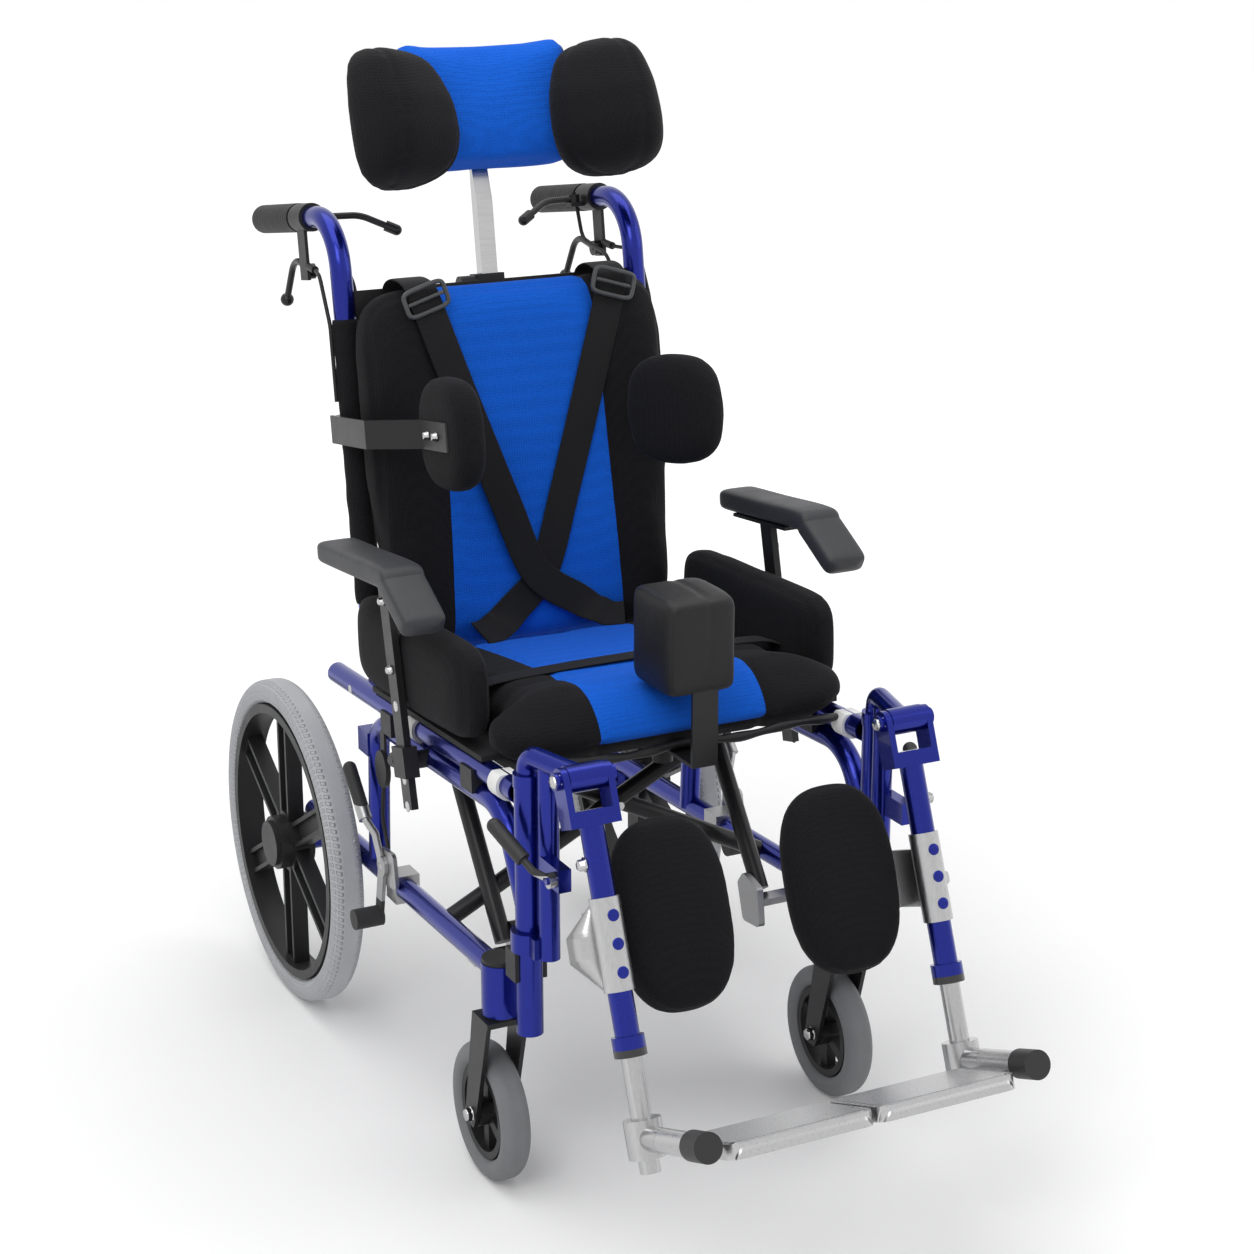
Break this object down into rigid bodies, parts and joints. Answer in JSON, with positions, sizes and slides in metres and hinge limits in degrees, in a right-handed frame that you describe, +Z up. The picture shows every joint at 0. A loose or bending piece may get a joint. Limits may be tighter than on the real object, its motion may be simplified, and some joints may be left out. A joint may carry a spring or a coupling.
{
  "type": "wheelchair",
  "caption": "Reclining positioning wheelchair with padded headrest, trunk and calf pads, pommel, raising leg rests, castors and lockable rear wheels.",
  "frame": {"origin": "on the floor below the middle of the chair's box", "axes": "+X to the sitter's left, -Y the way the chair faces, +Z up"},
  "size_m": [0.554, 1.1742, 1.159],
  "materials": {
    "blue_paint": "metallic gloss",
    "black_paint": "satin",
    "steel": "brushed",
    "chrome": "polished",
    "alloy": "ribbed",
    "black_plastic": "moulded",
    "nylon": "plain",
    "tyre": "matt",
    "grip": "ribbed",
    "board": "plain",
    "blue_fabric": "woven",
    "black_fabric": "woven",
    "black_leather": "grained"
  },
  "bodies": {
    "frame": {"left_side_frame": "blue_paint", "right_side_frame": "blue_paint", "cross_brace": "black_paint", "steel_plates": "steel", "seat_rails": "blue_paint", "frame_bolts": "steel", "seat_board": "board", "seat_cushion": "blue_fabric", "rail_rings": "nylon", "frame_fittings": "black_plastic", "lock_cables": "grip"},
    "back": {"back_canes": "blue_paint", "back_cushion": "blue_fabric", "push_grips": "grip", "back_fittings": "black_paint", "lateral_brackets": "black_paint", "lateral_pads": "black_fabric", "shoulder_straps": "black_fabric", "control_cables": "grip"},
    "headrest": {"headrest_post": "steel", "headrest_pad": "blue_fabric", "headrest_wings": "black_fabric"},
    "pommel": {"pommel_pad": "black_leather", "pommel_bracket": "black_paint"},
    "left_wheel": {"left_wheel": "black_plastic", "left_tyre": "tyre"},
    "left_fork": {"left_caster_fork": "black_paint"},
    "left_caster": {"left_caster_hub": "black_plastic", "left_caster_tyre": "tyre"},
    "left_brake_lever": {"left_brake_lever": "black_paint"},
    "left_recline_lever": {"left_recline_lever": "black_paint"},
    "left_armrest": {"left_arm_bar": "black_paint", "left_arm_pad": "black_leather", "left_hip_cushion": "black_fabric"},
    "left_lock": {"left_lock_lever": "black_paint"},
    "left_hanger": {"left_hanger": "blue_paint"},
    "left_leg_lever": {"left_leg_lever": "chrome"},
    "left_leg": {"left_leg_tube": "blue_paint"},
    "left_calf": {"left_calf_sleeve": "steel", "left_calf_pad": "black_fabric"},
    "left_foot": {"left_foot_tube": "steel"},
    "left_footplate": {"left_footplate": "alloy"},
    "right_wheel": {"right_wheel": "black_plastic", "right_tyre": "tyre"},
    "right_fork": {"right_caster_fork": "black_paint"},
    "right_caster": {"right_caster_hub": "black_plastic", "right_caster_tyre": "tyre"},
    "right_brake_lever": {"right_brake_lever": "black_paint"},
    "right_recline_lever": {"right_recline_lever": "black_paint"},
    "right_armrest": {"right_arm_bar": "black_paint", "right_arm_pad": "black_leather", "right_hip_cushion": "black_fabric"},
    "right_lock": {"right_lock_lever": "black_paint"},
    "right_hanger": {"right_hanger": "blue_paint"},
    "right_leg_lever": {"right_leg_lever": "chrome"},
    "right_leg": {"right_leg_tube": "blue_paint"},
    "right_calf": {"right_calf_sleeve": "steel", "right_calf_pad": "black_fabric"},
    "right_foot": {"right_foot_tube": "steel"},
    "right_footplate": {"right_footplate": "alloy"}
  },
  "joints": [
    {"name": "back_recline", "type": "hinge", "parent": "frame", "child": "back", "pos_m": [0, 0.23009, 0.44], "axis": [-1, 0, 0], "range_deg": [0, 45]},
    {"name": "headrest_height", "type": "slide", "parent": "back", "child": "headrest", "axis": [0, 0.1478, 0.989], "range_m": [-0.03, 0.06]},
    {"name": "pommel_slide", "type": "slide", "parent": "frame", "child": "pommel", "axis": [0, -1, 0], "range_m": [0, 0.045]},
    {"name": "left_wheel_spin", "type": "hinge", "parent": "frame", "child": "left_wheel", "pos_m": [0.24, 0.38709, 0.2], "axis": [1, 0, 0], "continuous": true},
    {"name": "left_caster_swivel", "type": "hinge", "parent": "frame", "child": "left_fork", "pos_m": [0.212, -0.17491, 0.204], "axis": [0, 0, 1], "continuous": true},
    {"name": "left_caster_spin", "type": "hinge", "parent": "left_fork", "child": "left_caster", "pos_m": [0.212, -0.14591, 0.076], "axis": [1, 0, 0], "continuous": true},
    {"name": "left_brake_squeeze", "type": "hinge", "parent": "back", "child": "left_brake_lever", "pos_m": [0.185, 0.40063, 0.89782], "axis": [1, 0, 0], "range_deg": [0, 18], "stiffness_Nm_per_rad": 0.6, "springref_deg": -17.19},
    {"name": "left_recline_release", "type": "hinge", "parent": "back", "child": "left_recline_lever", "pos_m": [0.16, 0.4098, 0.95914], "axis": [0, -0.1478, -0.989], "range_deg": [0, 15], "stiffness_Nm_per_rad": 0.6, "springref_deg": -17.19},
    {"name": "left_arm_height", "type": "slide", "parent": "frame", "child": "left_armrest", "axis": [0, 0.2419, 0.9703], "range_m": [0, 0.05]},
    {"name": "left_wheel_lock", "type": "hinge", "parent": "frame", "child": "left_lock", "pos_m": [0.23, 0.11409, 0.265], "axis": [1, 0, 0], "range_deg": [0, 70]},
    {"name": "left_leg_swing", "type": "hinge", "parent": "frame", "child": "left_hanger", "pos_m": [0.205, -0.23491, 0.478], "axis": [0, 0, 1], "range_deg": [0, 60]},
    {"name": "left_leg_release", "type": "hinge", "parent": "left_hanger", "child": "left_leg_lever", "pos_m": [0.209, -0.30191, 0.402], "axis": [1, 0, 0], "range_deg": [0, 15], "stiffness_Nm_per_rad": 0.6, "springref_deg": -22.92},
    {"name": "left_leg_raise", "type": "hinge", "parent": "left_hanger", "child": "left_leg", "pos_m": [0.184, -0.32091, 0.513], "axis": [-1, 0, 0], "range_deg": [0, 65]},
    {"name": "left_calf_slide", "type": "slide", "parent": "left_leg", "child": "left_calf", "axis": [0, -0.3746, -0.9272], "range_m": [-0.025, 0.025]},
    {"name": "left_foot_slide", "type": "slide", "parent": "left_leg", "child": "left_foot", "axis": [0, -0.3746, -0.9272], "range_m": [-0.03, 0.04]},
    {"name": "left_footplate_flip", "type": "hinge", "parent": "left_foot", "child": "left_footplate", "pos_m": [0.184, -0.52399, 0.21325], "axis": [0, 0.9272, -0.3746], "range_deg": [0, 90]},
    {"name": "right_wheel_spin", "type": "hinge", "parent": "frame", "child": "right_wheel", "pos_m": [-0.24, 0.38709, 0.2], "axis": [1, 0, 0], "continuous": true},
    {"name": "right_caster_swivel", "type": "hinge", "parent": "frame", "child": "right_fork", "pos_m": [-0.212, -0.17491, 0.204], "axis": [0, 0, 1], "continuous": true},
    {"name": "right_caster_spin", "type": "hinge", "parent": "right_fork", "child": "right_caster", "pos_m": [-0.212, -0.14591, 0.076], "axis": [1, 0, 0], "continuous": true},
    {"name": "right_brake_squeeze", "type": "hinge", "parent": "back", "child": "right_brake_lever", "pos_m": [-0.185, 0.40063, 0.89782], "axis": [1, 0, 0], "range_deg": [0, 18], "stiffness_Nm_per_rad": 0.6, "springref_deg": -17.19},
    {"name": "right_recline_release", "type": "hinge", "parent": "back", "child": "right_recline_lever", "pos_m": [-0.16, 0.4098, 0.95914], "axis": [0, 0.1478, 0.989], "range_deg": [0, 15], "stiffness_Nm_per_rad": 0.6, "springref_deg": -17.19},
    {"name": "right_arm_height", "type": "slide", "parent": "frame", "child": "right_armrest", "axis": [0, 0.2419, 0.9703], "range_m": [0, 0.05]},
    {"name": "right_wheel_lock", "type": "hinge", "parent": "frame", "child": "right_lock", "pos_m": [-0.23, 0.11409, 0.265], "axis": [1, 0, 0], "range_deg": [0, 70]},
    {"name": "right_leg_swing", "type": "hinge", "parent": "frame", "child": "right_hanger", "pos_m": [-0.205, -0.23491, 0.478], "axis": [0, 0, -1], "range_deg": [0, 60]},
    {"name": "right_leg_release", "type": "hinge", "parent": "right_hanger", "child": "right_leg_lever", "pos_m": [-0.209, -0.30191, 0.402], "axis": [1, 0, 0], "range_deg": [0, 15], "stiffness_Nm_per_rad": 0.6, "springref_deg": -22.92},
    {"name": "right_leg_raise", "type": "hinge", "parent": "right_hanger", "child": "right_leg", "pos_m": [-0.184, -0.32091, 0.513], "axis": [-1, 0, 0], "range_deg": [0, 65]},
    {"name": "right_calf_slide", "type": "slide", "parent": "right_leg", "child": "right_calf", "axis": [0, -0.3746, -0.9272], "range_m": [-0.025, 0.025]},
    {"name": "right_foot_slide", "type": "slide", "parent": "right_leg", "child": "right_foot", "axis": [0, -0.3746, -0.9272], "range_m": [-0.03, 0.04]},
    {"name": "right_footplate_flip", "type": "hinge", "parent": "right_foot", "child": "right_footplate", "pos_m": [-0.184, -0.52399, 0.21325], "axis": [0, -0.9272, 0.3746], "range_deg": [0, 90]}
  ]
}
